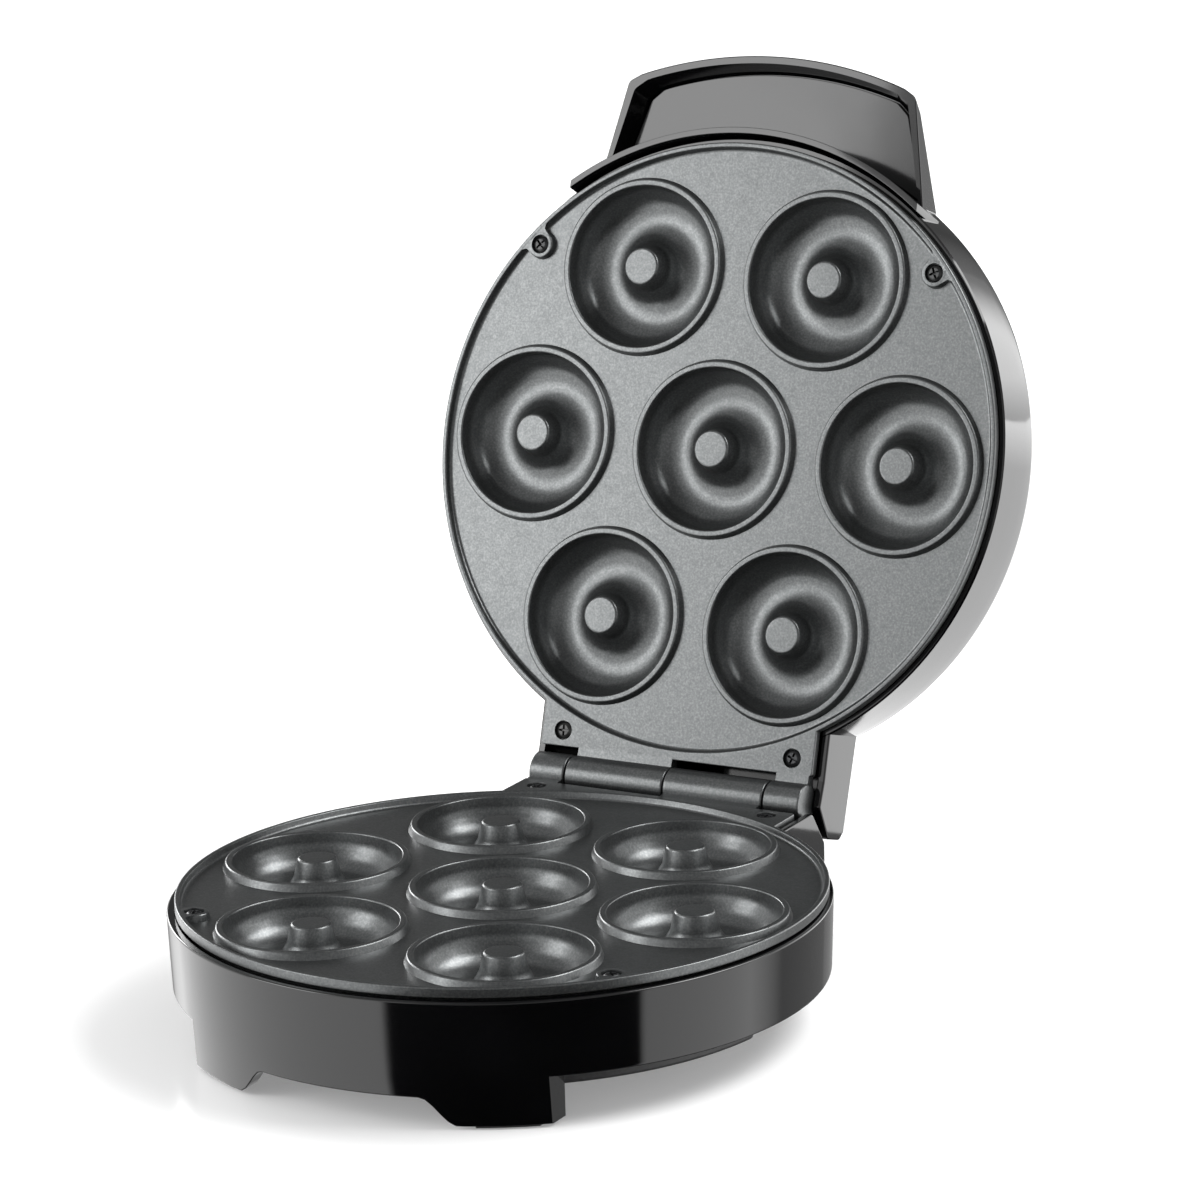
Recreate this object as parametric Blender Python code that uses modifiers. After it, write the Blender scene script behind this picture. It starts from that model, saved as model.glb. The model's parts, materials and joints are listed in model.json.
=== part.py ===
"""A seven-cavity donut maker with its lid open, built from separate pieces.

Shapes are written in millimetres and the helpers turn them into Blender's metres.
Plate coordinates: the origin is the plate's centre in the plane of its lip, +Z out of the cavities, +Y
towards the hinge. Both plates are one casting, and the upper one is turned half round Y.
"""

import math

import bmesh
import bpy
from mathutils import Matrix, Vector

MM = 0.001
GAP = 0.3
# How deep a shape reaches into the one that it is joined to, and how far a cutter runs past a face
BITE = 0.2
CLEAR = 1.0

# Driving dimensions
PITCH = 66.0
CAVITY_COUNT = 6
FOOT_TO_LIP = 42.5
OPEN_ANGLE = 107.2
HINGE_Y = 109.74
HINGE_Z = 0.54
LID_GAP = 2 * HINGE_Z
# Half the sum of the open model's lowest and highest y, so that it stands centred on the origin
CENTRE_Y = 50.2

# Baking plate
LIP_RADIUS = 99.5
LIP_INNER = 98.0
LIP_FOOT = 96.7
# The lip's inner slope, carried on past the plane of the lip
LIP_SLOPE_END = 98.56
FLANGE = 3.1
FLOOR_Z = -2.3
UNDERSIDE = -5.3
SKIRT_OUTER = 96.0
SKIRT_INNER = 93.5
SKIRT_Z = -8.5
TAB_HALF = 49.2
TAB_REAR = 101.05
CUP_HOLE = 28.7
CUP_BOTTOM = -14.3
CUP_PROFILE = (
    (0, 0), (6.0, 0), (7.6, -6.0), (10.6, -10.2), (16.5, -11.5), (22.4, -9.8), (26.0, -4.4),
    (26.4, 0), (28.4, 0), (29.32, -2.5), (29.32, -7.0), (25.0, CUP_BOTTOM), (0, CUP_BOTTOM),
)
KNUCKLE_RADIUS = 6.34
OUTER_KNUCKLE = (-48.85, -36.2)
INNER_KNUCKLE = (0.2, 35.7)
KNUCKLE_WEB = ((100.2, -4.9), (HINGE_Y, -5.5), (HINGE_Y, 1.0), (100.2, -0.15))
TAB_RIB_LOW = (-48.7, 88.0, -5.0)
TAB_RIB_HIGH = (48.7, 100.5, -2.5)
PIN_RADIUS = 1.6
PIN_BORE = 2.0
BLIND_END = 46.5
OPEN_END = 60.0
PIN_PROUD = 0.65

# Screws of the plate: places, head, counterbore and shank
FRONT_SCREW = (71.3, -61.9)
REAR_SCREW = (41.6, 95.8)
HEAD_RADIUS = 2.8
HEAD_HEIGHT = 1.3
HEAD_TOP = -0.25
SINK_RADIUS = 3.1
SHANK_RADIUS = 1.4
SHANK_HOLE = 1.75
BOSS_RADIUS = 4.8
BOSS_TOP = -0.1
SINK_SIDES = 14
LOWER_BOSS_RADIUS = 4.0
SCREW_LENGTH = 14.0
SCREW_CROWN = 0.8
SEAT_Z = SKIRT_Z - GAP

# Heater under each plate
ELEMENT_RADIUS = 62.0
ELEMENT_TUBE = 3.1
ELEMENT_Z = -18.0
ELEMENT_END = (10.0, 92.0)
ELEMENT_BEND = 3.0
ELEMENT_OPENING = 18.0
ELEMENT_STEPS = 30
SHIELD_RADIUS = 82.0
SHIELD_TOP = -21.4
SHIELD_SHEET = 0.5
SHIELD_SIDES = 32
POST_CIRCLE = 38.0
POST_ANGLES = (30, 150, 270)
POST_RADIUS = 2.8
POST_ROOT = -4.0
POST_HOLE = 1.45
POST_SIDES = 10
POST_HOLE_TOP = -13.0
POST_SCREW = {"head_radius": 2.2, "head_height": 1.1, "shank_radius": 1.1, "length": 6.0}
FUSE_RADIUS = 2.4
FUSE_HALF = 7.0
FUSE_PLACE = (85.0, -9.0)

# Housings. A big box that cuts one half of a round shape away reaches this far
FAR = 120.0
# Faces that would lie in one plane with another piece of the same shape keep this much off it
NUDGE = 0.05
WALL = 2.4
RIM_Z = 3.6
HOUSING_RADIUS = 101.3
BASE_CENTRE_Y = -1.3
BASE_EDGE_Z = -27.0
BASE_EDGE_RADIUS = 100.4
SKIRT_EDGE_Z = -33.0
FOOT_Z = -41.6
FOOT_HALF = 60.7
FOOT_INNER = 37.0
SLOPE_TOP = 26.6
SLOPE_STEPS = 6
SKIRT_ROOT = BASE_EDGE_Z + 3
FOOT_THICK = 6.0
FOOT_DRAFT = 0.8
PAD_PROUD = FOOT_TO_LIP + FOOT_Z
PAD_DEPTH = 1.6
FRONT_PAD = (95.2, 97.9)
REAR_PAD = (108.6, 113.4)
FRONT_PAD_SPAN = (41.0, 57.0)
REAR_PAD_SPAN = (37.0, 49.5)
PAD_SIDES = 96
PAD_REACH = (-110.0, -60.0)
FOOT_WALL_RADIUS = 99.4
BLOCK_HALF = 52.1
BLOCK_REAR = 115.8
BLOCK_FRONT = 84.0
BLOCK_LOW = BASE_EDGE_Z - 0.1
REAR_BLOCK = (
    (BLOCK_FRONT, SEAT_Z), (112.7, SEAT_Z), (BLOCK_REAR, -13.2), (BLOCK_REAR, BLOCK_LOW),
    (BLOCK_FRONT, BLOCK_LOW),
)
CHEEK = ((87.2, -1.65), (107.6, -1.65), (BLOCK_REAR, -13.3), (BLOCK_REAR, -20), (87.2, -20))
REAR_FOOT = (35.4, 106.5)
# The hollow behind the plate starts inside the round wall and its underside opening lies below the cover
HOLLOW_FRONT = 60.0
HOLLOW_LOW = BASE_EDGE_Z - 3
HOLLOW_TOP = -20.0
FOOT_HOLLOW_FRONT = 100.0
TAB_ROOM_REAR = 103.0
ROUND_HOLLOW_RADIUS = 96.4
BOSS_SIDES = 16
FRONT_BOSS = 4.5
REAR_BOSS = 4.2
COVER_BOSS = 4.0
COVER_BOSS_TOPS = (-12.0, -10.0)
RIB_HALF = 1.0
# How far each rib reaches from the middle, and its top
FRONT_RIB = (79.5, -9.2)
COVER_RIB = (92.0, -12.2)
COVER_HOLE_SPAN = (-30.0, -14.0)
LID_TOP = 43.5
LID_SHOULDER = 24.5
SHOULDER_RADIUS = 10.0
LID_WAIST = 101.2
DOME_DROPS = ((0, 0), (24, 0.6), (48, 2.5), (70, 5.6), (84, 8.6))
INNER_DROPS = ((0, 0), (47.5, 2.5), (82, 8.5), (91.1, 9.5))
INNER_WAIST = 98.6
LID_BOSS_TOPS = (26.0, 23.2)
LID_RIB_TOP = 24.0
LID_HOLE_TOP = 19.0
LID_HOLLOW_RADIUS = 95.0
LID_HOLLOW_TOP = 24.0
VISOR_RADIUS = 104.5
VISOR_HALF = 62.7
VISOR_BOX = (-60.0, 19.0)
VISOR_PROFILE = ((101.7, 18), (VISOR_RADIUS, 0), (VISOR_RADIUS - 2, 0), (99.6, 18))
EAR = ((84, 3.9), (102, 3.9), (110.6, 2.8), (120.3, 11.6), (120.3, 20.4), (117.5, 22.9), (84, 24.7))
EAR_HOLLOW = ((70, -1), (108, -1), (117.9, 8.5), (117.9, 19.4), (116.5, 20.6), (70, 22.3))
COVER_TOP = -24.6
HOLLOW_MIDDLE = COVER_TOP + 0.7
COVER_SHEET = 2.2
COVER_RADIUS = 97.3
TRAY_Z = -32.0
TRAY_RADIUS = 93.8
TRAY_REAR = -15.0
TRAY_LAP = 0.5
COVER_TONGUE_FRONT = 90.0
COVER_SCREWS = ((80.0, -38.0), (24.0, 104.0))
COVER_SCREW_LENGTH = 7.0
COVER_WELL_RADIUS = SINK_RADIUS + 0.6

# Handle, in the lid's coordinates
HANDLE_ARC_RADIUS = 144.2
HANDLE_ARC_Y = 14.5
HANDLE_ROOT = (59.2, -83.0)
HANDLE_TIP = (52.2, -119.0)
HANDLE_CORNER = 4.5
HANDLE_RIM = 12.5
HANDLE_FLOOR = 19.8
HANDLE_TOP = 22.8
HANDLE_DRAFT = 3.3
HANDLE_SKIN = 1.5
HANDLE_TILT = 0.12
HANDLE_STEPS = 14
# How much more the recess draws in towards its bottom than the handle's wall is thick
RECESS_DRAFT = HANDLE_DRAFT - 0.6
RECESS_START = HANDLE_RIM - 0.5
ROOT_FLARE = 0.4
LAMP_PLACES = {"power": (-9.0, -70.0), "ready": (9.0, -70.0)}
LAMP_RADIUS = 3.4
LAMP_SINK = 3.2
LENS_FOOT = 31.0
LENS_CROWN = ((0, 0), (2.2, -0.4), (LAMP_RADIUS, -1.3))
LAMP_HOLE_SPAN = (20.0, 50.0)
LAMP_SIDES = 16
BULB_SPAN = (24.6, 30.6)
BULB_RADIUS = 1.6

# Small pieces inside the base
CAN_PROFILE = (
    (0, -5.6), (7.4, -5.6), (7.4, -10), (8.0, -10), (8.0, -10.8), (6.6, -10.8), (6.6, -16), (0, -16),
)
TERMINAL_LOW = (-11.0, 94.0, -24.2)
TERMINAL_HIGH = (11.0, 108.0, -13.2)
BUSHING_PLACE = (-28.0, -19.0)
BUSHING_NECK = 3.8
BUSHING_FLANGE = (5.6, 1.8)
BUSHING_CATCH = (5.0, 1.6)
BUSHING_BORE = 3.0
BUSHING_CUT = (8.0, 4.0)
BUSHING_SIDES = 20

ROUND = 48
FLAT_ANGLE = math.radians(0.2)
ROD_SIDES = 24
CUP_SIDES = 16
SCREW_SIDES = 10
SMALL_SIDES = 12

FINISHES = {
    "housing": ((0.012, 0.012, 0.013), 0.08, 0.0),
    "cover": ((0.03, 0.03, 0.032), 0.45, 0.0),
    "rubber": ((0.02, 0.02, 0.02), 0.85, 0.0),
    "plate": ((0.17, 0.175, 0.18), 0.42, 0.75),
    "steel": ((0.55, 0.55, 0.56), 0.3, 1.0),
    "screw": ((0.12, 0.12, 0.12), 0.35, 0.9),
    "element": ((0.25, 0.24, 0.22), 0.5, 0.9),
    "ceramic": ((0.85, 0.83, 0.78), 0.6, 0.0),
    "red_lens": ((0.6, 0.03, 0.02), 0.15, 0.0),
    "green_lens": ((0.03, 0.4, 0.06), 0.15, 0.0),
    "neon": ((0.9, 0.8, 0.7), 0.1, 0.0),
}


def clear_scene():
    for item in list(bpy.data.objects):
        bpy.data.objects.remove(item, do_unlink=True)


def make_material(name):
    color, roughness, metallic = FINISHES[name]
    material = bpy.data.materials.new(name)
    material.use_nodes = True
    shader = material.node_tree.nodes["Principled BSDF"]
    shader.inputs["Base Color"].default_value = (*color, 1)
    shader.inputs["Roughness"].default_value = roughness
    shader.inputs["Metallic"].default_value = metallic
    return material


def make_collection(name):
    collection = bpy.data.collections.new(name)
    bpy.context.scene.collection.children.link(collection)
    return collection


def blank_from(bm):
    """A helper object holding this bmesh, scaled from millimetres."""
    bmesh.ops.scale(bm, vec=(MM, MM, MM), verts=bm.verts)
    mesh = bpy.data.meshes.new("blank")
    bm.to_mesh(mesh)
    bm.free()
    blank = bpy.data.objects.new("blank", mesh)
    workshop.objects.link(blank)
    return blank


def bake(blank):
    """Puts the evaluated mesh in place of the blank's mesh and modifiers, its flat faces made whole."""
    bpy.context.view_layer.update()
    evaluated = blank.evaluated_get(bpy.context.evaluated_depsgraph_get())
    mesh = bpy.data.meshes.new_from_object(evaluated)
    blank.modifiers.clear()
    blank.data = mesh
    bm = bmesh.new()
    bm.from_mesh(mesh)
    bmesh.ops.dissolve_limit(bm, angle_limit=FLAT_ANGLE, verts=bm.verts, edges=bm.edges)
    bm.to_mesh(mesh)
    bm.free()
    return blank


def block(low, high):
    bm = bmesh.new()
    size = [b - a for a, b in zip(low, high)]
    centre = [(a + b) / 2 for a, b in zip(low, high)]
    bmesh.ops.create_cube(bm, matrix=Matrix.Translation(centre) @ Matrix.Diagonal((*size, 1)))
    return blank_from(bm)


def rod(start, end, radius, sides=ROD_SIDES):
    bm = bmesh.new()
    start, end = Vector(start), Vector(end)
    turn = (end - start).to_track_quat("Z", "Y").to_matrix().to_4x4()
    place = Matrix.Translation((start + end) / 2) @ turn
    bmesh.ops.create_cone(
        bm, cap_ends=True, segments=sides, radius1=radius, radius2=radius,
        depth=(end - start).length, matrix=place,
    )
    return blank_from(bm)


def upright(place, low, high, radius, sides=BOSS_SIDES):
    """A rod along Z at one place on the plate."""
    x, y = place[:2]
    return rod((x, y, low), (x, y, high), radius, sides)


def loft(lower, upper, level_low, level_high, axis="Z", tilt=0.0):
    """A closed solid between two outlines of equal length, one at each level along the axis.

    With a tilt, the upper level climbs by that much for each millimetre along the outline's second
    coordinate, starting from where that coordinate is lowest.
    """
    order = {"X": (2, 0, 1), "Y": (0, 2, 1), "Z": (0, 1, 2)}[axis]
    bm = bmesh.new()
    rings = []
    for outline, level, climb in ((lower, level_low, 0.0), (upper, level_high, tilt)):
        start = min(v for _, v in outline)
        triples = [(u, v, level + climb * (v - start)) for u, v in outline]
        rings.append([bm.verts.new([triple[k] for k in order]) for triple in triples])
    bm.faces.new(rings[0])
    bm.faces.new(rings[1])
    for k in range(len(lower)):
        following = (k + 1) % len(lower)
        bm.faces.new((rings[0][k], rings[0][following], rings[1][following], rings[1][k]))
    bmesh.ops.recalc_face_normals(bm, faces=bm.faces)
    return blank_from(bm)


def slab(outline, level_low, level_high, axis="Z"):
    return loft(outline, outline, level_low, level_high, axis)


def turned(profile, sides=ROUND, centre=(0, 0)):
    """A solid turned about Z from a profile that runs down its outer side."""
    bm = bmesh.new()
    points = [bm.verts.new((radius, 0, z)) for radius, z in profile]
    for a, b in zip(points, points[1:]):
        bm.edges.new((a, b))
    if profile[0][0] > 0:
        bm.edges.new((points[-1], points[0]))
    blank = blank_from(bm)
    screw = blank.modifiers.new("Turn", "SCREW")
    screw.steps = screw.render_steps = sides
    screw.use_merge_vertices = True
    screw.merge_threshold = 0.00001
    bake(blank)
    blank.data.transform(Matrix.Translation(Vector((*centre, 0)) * MM))
    return blank


def disc(radius, top, low, sides=ROUND, centre=(0, 0)):
    return turned(((0, top), (radius, top), (radius, low), (0, low)), sides, centre)


def shaped(blank, operation, tools):
    """The blank after Boolean modifiers with each of the tools, which are used up."""
    for tool in tools:
        cut = blank.modifiers.new(operation.title(), "BOOLEAN")
        cut.operation = operation
        cut.solver = "EXACT"
        cut.object = tool
    bake(blank)
    for tool in tools:
        bpy.data.objects.remove(tool, do_unlink=True)
    return blank


def joined(blank, *tools):
    return shaped(blank, "UNION", tools)


def cut(blank, *tools):
    return shaped(blank, "DIFFERENCE", tools)


def common(blank, *tools):
    return shaped(blank, "INTERSECT", tools)


def finish(blank, name, finish_name, frame):
    """Makes the blank a named part of the donut maker, held by a frame."""
    workshop.objects.unlink(blank)
    donut_maker.objects.link(blank)
    blank.name = name
    blank.data.name = name
    blank.data.materials.clear()
    blank.data.materials.append(materials[finish_name])
    blank.data.shade_smooth()
    blank.data.set_sharp_from_angle(angle=math.radians(30))
    blank.parent = frame
    return blank


def make_frame(name, parent, place, turn=(0, 0, 0)):
    frame = bpy.data.objects.new(name, None)
    donut_maker.objects.link(frame)
    frame.parent = parent
    frame.location = Vector(place) * MM
    frame.rotation_euler = turn
    return frame


def polar(radius, degrees, z=0.0):
    turn = math.radians(degrees)
    return (radius * math.cos(turn), radius * math.sin(turn), z)


def both_sides(places):
    return [(side * x, y) for x, y in places for side in (-1, 1)]


def smooth_step(start, end, count):
    """Points of an S-shaped slope from start to end."""
    points = []
    for k in range(count + 1):
        t = k / count
        rise = t * t * (3 - 2 * t)
        points.append((start[0] + (end[0] - start[0]) * t, start[1] + (end[1] - start[1]) * rise))
    return points


def arc(centre, radius, first, last, count):
    points = []
    for k in range(count + 1):
        turn = math.radians(first + (last - first) * k / count)
        points.append((centre[0] + radius * math.cos(turn), centre[1] + radius * math.sin(turn)))
    return points


# ---- Plate assembly: casting, heater, shield, screws ----


def plate_outline():
    corner = math.degrees(math.acos(TAB_HALF / LIP_RADIUS))
    rim = arc((0, 0), LIP_RADIUS, 180 - corner, 360 + corner, ROUND)
    return rim + [(TAB_HALF, TAB_REAR), (-TAB_HALF, TAB_REAR)]


def cavity_centres():
    ring = [polar(PITCH, 360 / CAVITY_COUNT * k)[:2] for k in range(CAVITY_COUNT)]
    return [(0.0, 0.0)] + ring


def knuckle(span):
    low, high = span
    barrel = rod((low, HINGE_Y, HINGE_Z), (high, HINGE_Y, HINGE_Z), KNUCKLE_RADIUS)
    return joined(barrel, slab(KNUCKLE_WEB, low + BITE, high - BITE, "X"))


def make_casting(bore_start):
    """The cast plate: lipped disc, hinge tab with two knuckles, seven cups, screw bosses, shield posts."""
    floor_profile = ((0, CLEAR), (LIP_SLOPE_END, CLEAR), (LIP_FOOT, FLOOR_Z), (0, FLOOR_Z))
    screws = both_sides((FRONT_SCREW, REAR_SCREW))
    posts = [polar(POST_CIRCLE, angle) for angle in POST_ANGLES]
    rib_top = BITE - FLANGE
    casting = slab(plate_outline(), -FLANGE, 0)
    joined(casting, disc(SKIRT_OUTER, rib_top, SKIRT_Z))
    joined(casting, block(TAB_RIB_LOW, TAB_RIB_HIGH))
    cut(casting, disc(SKIRT_INNER, UNDERSIDE, SKIRT_Z - CLEAR), turned(floor_profile))
    low, cups = UNDERSIDE - CLEAR, cavity_centres()
    cut(casting, *[upright(place, low, CLEAR, CUP_HOLE, CUP_SIDES) for place in cups])
    joined(casting, *[turned(CUP_PROFILE, CUP_SIDES, centre) for centre in cups])
    joined(casting, knuckle(OUTER_KNUCKLE), knuckle(INNER_KNUCKLE))
    joined(casting, *[upright(place, rib_top, BOSS_TOP, BOSS_RADIUS, SINK_SIDES) for place in screws])
    low = SKIRT_Z + BITE
    joined(casting, *[upright(place, low, rib_top, LOWER_BOSS_RADIUS, POST_SIDES) for place in screws])
    low = SHIELD_TOP + GAP
    joined(casting, *[upright(place, low, POST_ROOT, POST_RADIUS, POST_SIDES) for place in posts])
    sink = HEAD_TOP - HEAD_HEIGHT - GAP
    holes = [upright(place, sink, CLEAR, SINK_RADIUS, SINK_SIDES) for place in screws]
    holes += [upright(place, SKIRT_Z - CLEAR, CLEAR, SHANK_HOLE, SCREW_SIDES) for place in screws]
    holes += [upright(place, SHIELD_TOP - CLEAR, POST_HOLE_TOP, POST_HOLE, SCREW_SIDES) for place in posts]
    start, end = (-bore_start, HINGE_Y, HINGE_Z), (OPEN_END, HINGE_Y, HINGE_Z)
    holes.append(rod(start, end, PIN_BORE, SMALL_SIDES))
    return cut(casting, *holes)


def make_screw(top, head_radius, head_height, shank_radius, length):
    """A pan-head screw pointing down from the level of its head's top."""
    under = top - head_height
    tip = under - length
    profile = (
        (0, top), (head_radius * SCREW_CROWN, top), (head_radius, under),
        (shank_radius, under), (shank_radius, tip), (0, tip),
    )
    return turned(profile, SCREW_SIDES)


def make_element():
    """A tubular heater: one open ring whose two ends run back to the leads."""
    end_x, end_y = ELEMENT_END
    first = 90 + math.degrees(math.asin(ELEMENT_OPENING / ELEMENT_RADIUS))
    last = 360 + 180 - first
    ring = arc((0, 0), ELEMENT_RADIUS, first, last, ELEMENT_STEPS)
    corner_y = ELEMENT_RADIUS * math.sin(math.radians(first))
    bend_y = corner_y + ELEMENT_BEND
    start = [(-end_x, end_y), (-end_x, bend_y + 2 * ELEMENT_BEND), (-end_x - 2, bend_y)]
    route = start + ring + [(-x, y) for x, y in reversed(start)]
    curve = bpy.data.curves.new("element", "CURVE")
    curve.dimensions = "3D"
    curve.bevel_depth = ELEMENT_TUBE * MM
    curve.bevel_resolution = 2
    curve.use_fill_caps = True
    spline = curve.splines.new("POLY")
    spline.points.add(len(route) - 1)
    for point, (x, y) in zip(spline.points, route):
        point.co = (x * MM, y * MM, ELEMENT_Z * MM, 1)
    tube = bpy.data.objects.new("element", curve)
    workshop.objects.link(tube)
    bpy.context.view_layer.update()
    mesh = bpy.data.meshes.new_from_object(tube.evaluated_get(bpy.context.evaluated_depsgraph_get()))
    bpy.data.objects.remove(tube, do_unlink=True)
    bm = bmesh.new()
    bm.from_mesh(mesh)
    bmesh.ops.remove_doubles(bm, verts=bm.verts, dist=0.00001)
    bm.to_mesh(mesh)
    bm.free()
    blank = bpy.data.objects.new("element", mesh)
    workshop.objects.link(blank)
    return blank


def make_shield():
    low = SHIELD_TOP - SHIELD_SHEET
    posts = [polar(POST_CIRCLE, angle) for angle in POST_ANGLES]
    holes = [upright(place, low - CLEAR, SHIELD_TOP + CLEAR, POST_HOLE, SCREW_SIDES) for place in posts]
    return cut(disc(SHIELD_RADIUS, SHIELD_TOP, low, SHIELD_SIDES), *holes)


def make_plate_assembly(side, frame, bore_start):
    finish(make_casting(bore_start), f"{side}_baking_plate", "plate", frame)
    finish(make_element(), f"{side}_heating_element", "element", frame)
    finish(make_shield(), f"{side}_heat_shield", "steel", frame)
    for number, (x, y) in enumerate(both_sides((FRONT_SCREW, REAR_SCREW)), 1):
        screw = make_screw(HEAD_TOP, HEAD_RADIUS, HEAD_HEIGHT, SHANK_RADIUS, SCREW_LENGTH)
        screw.location = Vector((x, y, 0)) * MM
        finish(screw, f"{side}_plate_screw_{number}", "screw", frame)
    under_shield = SHIELD_TOP - SHIELD_SHEET - GAP - POST_SCREW["head_height"]
    for number, angle in enumerate(POST_ANGLES, 1):
        screw = make_screw(0, **POST_SCREW)
        screw.rotation_euler.x = math.pi
        screw.location = Vector(polar(POST_CIRCLE, angle, under_shield)) * MM
        finish(screw, f"{side}_shield_screw_{number}", "screw", frame)
    fuse = rod((-FUSE_HALF, *FUSE_PLACE), (FUSE_HALF, *FUSE_PLACE), FUSE_RADIUS, SMALL_SIDES)
    finish(fuse, f"{side}_thermal_fuse", "ceramic", frame)


# ---- Base ----


def base_wall():
    """The round side wall, a little narrower at its lower edge."""
    profile = (
        (HOUSING_RADIUS, -RIM_Z), (BASE_EDGE_RADIUS, BASE_EDGE_Z),
        (BASE_EDGE_RADIUS - WALL, BASE_EDGE_Z), (HOUSING_RADIUS - WALL, -RIM_Z),
    )
    return turned(profile, ROUND, (0, BASE_CENTRE_Y))


def front_wall():
    """The skirt and the two front feet, one curved wall that thickens below the bottom cover."""
    shelf = COVER_TOP - COVER_SHEET - GAP
    foot_inside = FOOT_WALL_RADIUS - FOOT_THICK
    profile = (
        (BASE_EDGE_RADIUS + 2 * NUDGE, SKIRT_ROOT), (FOOT_WALL_RADIUS, FOOT_Z - CLEAR),
        (foot_inside, FOOT_Z - CLEAR), (foot_inside + FOOT_DRAFT, shelf),
        (BASE_EDGE_RADIUS - WALL - BITE, shelf), (BASE_EDGE_RADIUS - WALL + BITE, SKIRT_ROOT),
    )
    wall = turned(profile, ROUND, (0, BASE_CENTRE_Y))
    return common(wall, slab(front_outline(), -FAR, -FAR / 2, "Y"))


def front_outline():
    """The front skirt and its two feet, seen from the front: x and z."""
    slope = smooth_step((SLOPE_TOP, SKIRT_EDGE_Z), (FOOT_INNER, FOOT_Z), SLOPE_STEPS)
    right = slope + [(FOOT_HALF, FOOT_Z), (FOOT_HALF, HOLLOW_TOP)]
    left = [(-x, z) for x, z in reversed(right)]
    return left + right


def pads():
    """The four rubber pads: x span, and whether the pad follows the front wall."""
    spans = {}
    for name, (near, far) in (("front", FRONT_PAD_SPAN), ("rear", REAR_PAD_SPAN)):
        spans[f"foot_pad_{name}_left"] = ((-far, -near), name == "front")
        spans[f"foot_pad_{name}_right"] = ((near, far), name == "front")
    return spans


def pad_solid(span, in_front, grow):
    """One foot pad, or its pocket when it is grown by the gap."""
    low, high = span[0] - grow, span[1] + grow
    top = FOOT_Z + PAD_DEPTH + grow
    bottom = FOOT_Z - PAD_PROUD - (CLEAR if grow else 0)
    if not in_front:
        return block((low, REAR_PAD[0] - grow, bottom), (high, REAR_PAD[1] + grow, top))
    inner, outer = FRONT_PAD[0] - grow, FRONT_PAD[1] + grow
    outline = ((outer, top), (outer, bottom), (inner, bottom), (inner, top))
    ring = turned(outline, PAD_SIDES, (0, BASE_CENTRE_Y))
    front, rear = PAD_REACH
    return common(ring, block((low, front, bottom - CLEAR), (high, rear, top + CLEAR)))


def make_rear_block():
    """The square block behind the plate, with a cheek and a foot at each end, before it is hollowed."""
    solid = slab(REAR_BLOCK, -BLOCK_HALF, BLOCK_HALF, "X")
    face = BLOCK_HALF - NUDGE
    foot_x, foot_y = REAR_FOOT
    for side in (-1, 1):
        low, high = sorted((side * face, side * (BLOCK_HALF - WALL)))
        joined(solid, slab(CHEEK, low, high, "X"))
        low, high = sorted((side * foot_x, side * face))
        joined(solid, block((low, foot_y, FOOT_Z), (high, BLOCK_REAR - 2 * NUDGE, SKIRT_ROOT)))
    return solid


def rear_hollows():
    """What the rear block leaves free: its inside, its open underside and the room under the hinge tab."""
    inside = BLOCK_HALF - WALL
    roof = SEAT_Z - WALL
    inner_rear = BLOCK_REAR - WALL
    foot_x, foot_y = REAR_FOOT
    foot_inner = foot_x - GAP
    return (
        block((-inside, HOLLOW_FRONT, HOLLOW_MIDDLE), (inside, inner_rear, roof)),
        block((-inside, HOLLOW_FRONT, HOLLOW_LOW), (inside, foot_y - GAP, HOLLOW_TOP)),
        block((-foot_inner, FOOT_HOLLOW_FRONT, HOLLOW_LOW), (foot_inner, inner_rear, HOLLOW_TOP)),
        block((-inside, HOLLOW_FRONT, SEAT_Z + NUDGE), (inside, TAB_ROOM_REAR, 0)),
        upright((0, 0), HOLLOW_MIDDLE, 0, ROUND_HOLLOW_RADIUS, ROUND),
    )


def base_bosses():
    """Bosses for the plate's screws and the cover's screws, with ribs from the front ones to the wall."""
    low = COVER_TOP + GAP
    bosses = [upright(place, low, SEAT_Z, FRONT_BOSS) for place in both_sides((FRONT_SCREW,))]
    bosses += [upright(place, low, SEAT_Z - CLEAR, REAR_BOSS) for place in both_sides((REAR_SCREW,))]
    for cover_screw, top in zip(COVER_SCREWS, COVER_BOSS_TOPS):
        bosses += [upright(place, low, top, COVER_BOSS) for place in both_sides((cover_screw,))]
    for (x, y), (reach, top) in ((COVER_SCREWS[0], COVER_RIB), (FRONT_SCREW, FRONT_RIB)):
        for side in (-1, 1):
            near, far = sorted((side * x, side * reach))
            bosses.append(block((near, y - RIB_HALF, low + 2 * NUDGE), (far, y + RIB_HALF, top)))
    return bosses


def make_base_housing():
    housing = joined(base_wall(), front_wall(), make_rear_block())
    cut(housing, *rear_hollows())
    joined(housing, *base_bosses())
    screws = both_sides((FRONT_SCREW, REAR_SCREW))
    holes = [upright(place, COVER_TOP, 0, SHANK_HOLE, SCREW_SIDES) for place in screws]
    low, top = COVER_HOLE_SPAN
    holes += [upright(place, low, top, SHANK_HOLE, SCREW_SIDES) for place in both_sides(COVER_SCREWS)]
    x, z = BUSHING_PLACE
    start, end = BLOCK_REAR - BUSHING_CUT[0], BLOCK_REAR + BUSHING_CUT[1]
    holes.append(rod((x, start, z), (x, end, z), BUSHING_NECK + GAP, BUSHING_SIDES))
    holes += [pad_solid(span, in_front, GAP) for span, in_front in pads().values()]
    return cut(housing, *holes)


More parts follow.
